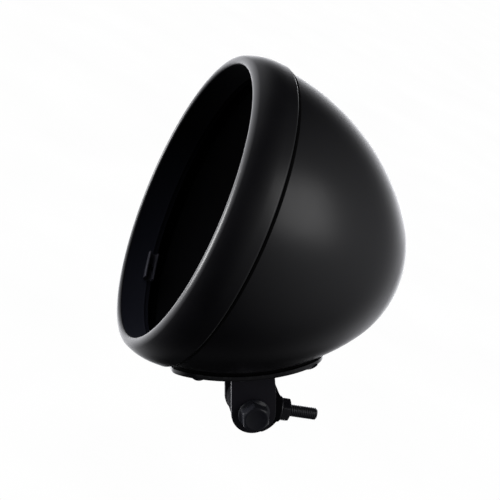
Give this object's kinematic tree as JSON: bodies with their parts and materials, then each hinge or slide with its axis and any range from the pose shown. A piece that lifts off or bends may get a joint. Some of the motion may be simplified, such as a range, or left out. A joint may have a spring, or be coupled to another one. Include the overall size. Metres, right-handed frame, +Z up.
{
  "type": "motorcycle headlight housing",
  "caption": "Round black motorcycle headlight housing: open bowl with a deep trim rim, carried on two ears with a tilting swivel lug and threaded mounting stud.",
  "frame": {"origin": "centre of the round front opening, in the plane of the rim's front edge", "axes": "+Z up, +Y rearward along the lamp's axis, so the open front faces -Y; the pivot runs along X"},
  "size_m": [0.196, 0.1461, 0.2202],
  "materials": {
    "satin_black": "satin",
    "coated_steel": "satin",
    "hardware": "satin",
    "rubber": "matte"
  },
  "bodies": {
    "mount": {"swivel_lug": "coated_steel", "stud": "hardware", "stud_washer": "hardware", "stud_nut": "hardware"},
    "lamp": {"shell": "satin_black", "trim_rim": "satin_black", "rim_seal": "rubber", "wire_grommet": "rubber", "clip_top": "coated_steel", "clip_left": "coated_steel", "clip_right": "coated_steel", "clip_rivets": "hardware", "rim_hook": "coated_steel", "rim_screw": "hardware", "rim_nut": "hardware", "saddle_pad": "rubber", "saddle_plate": "satin_black", "saddle_rivets": "coated_steel", "ear_left": "satin_black", "ear_right": "satin_black", "pivot_bolt": "hardware", "pivot_washer": "hardware", "pivot_nut": "hardware"}
  },
  "joints": [
    {"name": "lamp_tilt", "type": "hinge", "parent": "mount", "child": "lamp", "pos_m": [0, 0.1005, -0.108], "axis": [1, 0, 0], "range_deg": [-30, 45]}
  ]
}
